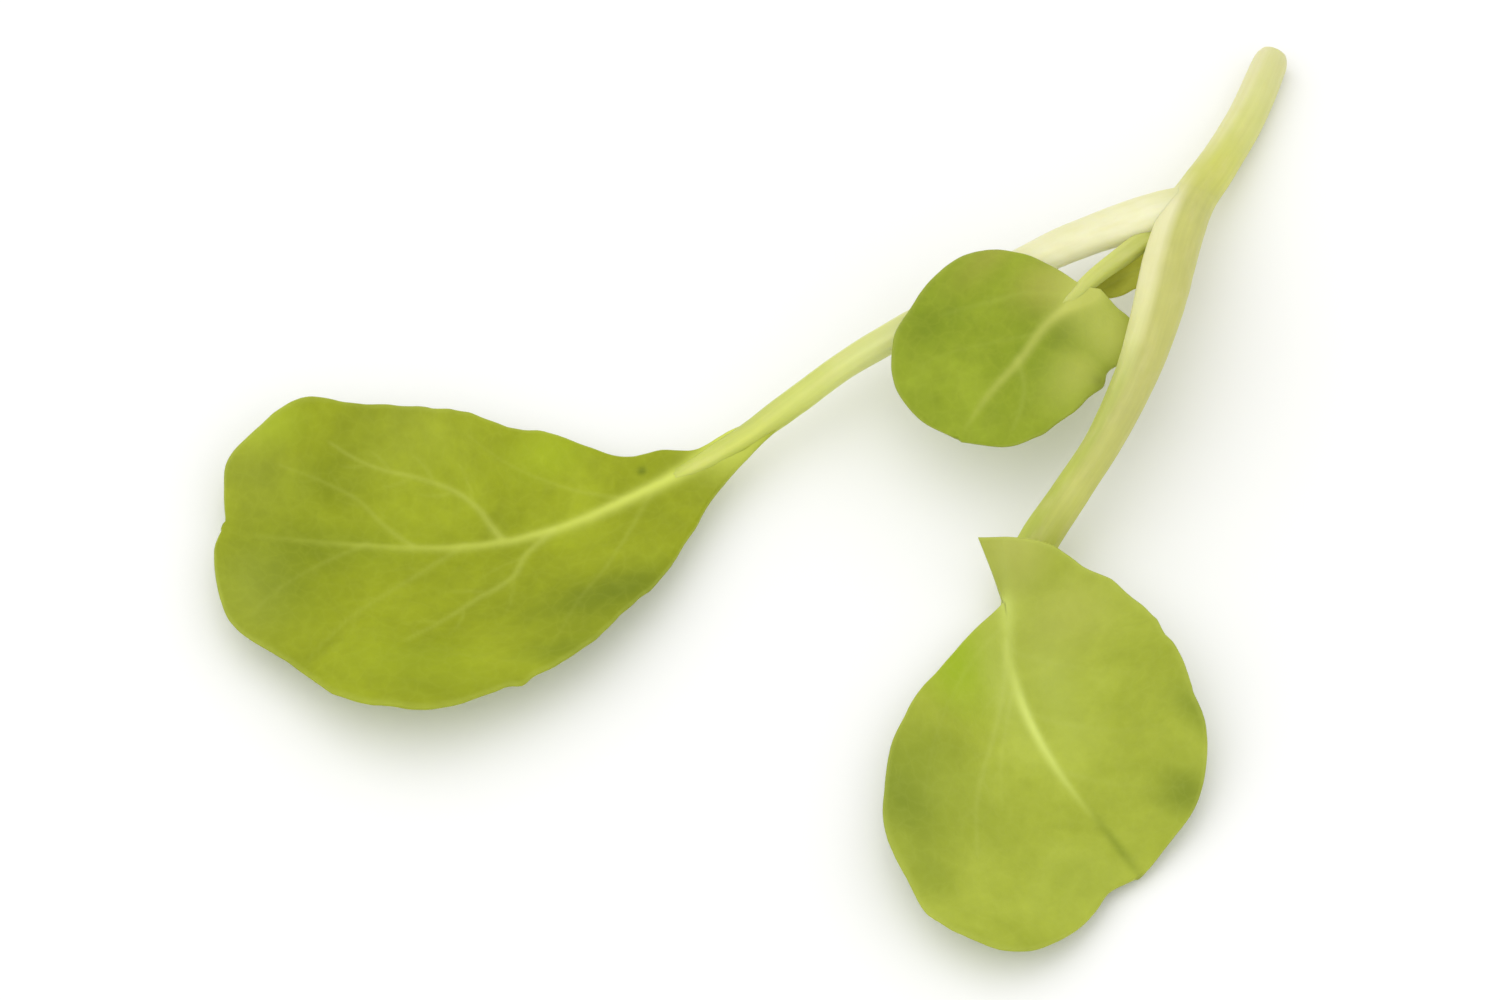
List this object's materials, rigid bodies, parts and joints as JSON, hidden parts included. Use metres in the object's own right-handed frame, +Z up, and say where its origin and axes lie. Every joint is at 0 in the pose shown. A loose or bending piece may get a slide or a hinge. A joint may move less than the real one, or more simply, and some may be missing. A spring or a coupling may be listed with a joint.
{
  "type": "pak choi microgreen",
  "caption": "Cut pak choi seedling lying on its side: a short stem, spoon-shaped leaves on channelled stalks, a small round leaf and a folded bud leaf.",
  "frame": {"origin": "on the surface that the seedling lies on, below the middle of its outline", "axes": "+Z up from that surface; +X towards the side that the stem's cut end is on; +Y away from the leaf that lies nearest the viewer"},
  "size_m": [0.061, 0.0596, 0.0071],
  "materials": {
    "stem": "satin",
    "leaf_stalk": "satin",
    "leaf_blade": "satin",
    "bud": "satin"
  },
  "bodies": {
    "root": {"cut_stem": "stem", "left_leaf_stalk": "leaf_stalk", "lower_leaf_stalk": "leaf_stalk", "small_leaf_stalk": "leaf_stalk", "left_leaf_blade": "leaf_blade", "lower_leaf_blade": "leaf_blade", "small_leaf_blade": "leaf_blade", "bud_leaf": "bud"}
  },
  "joints": []
}
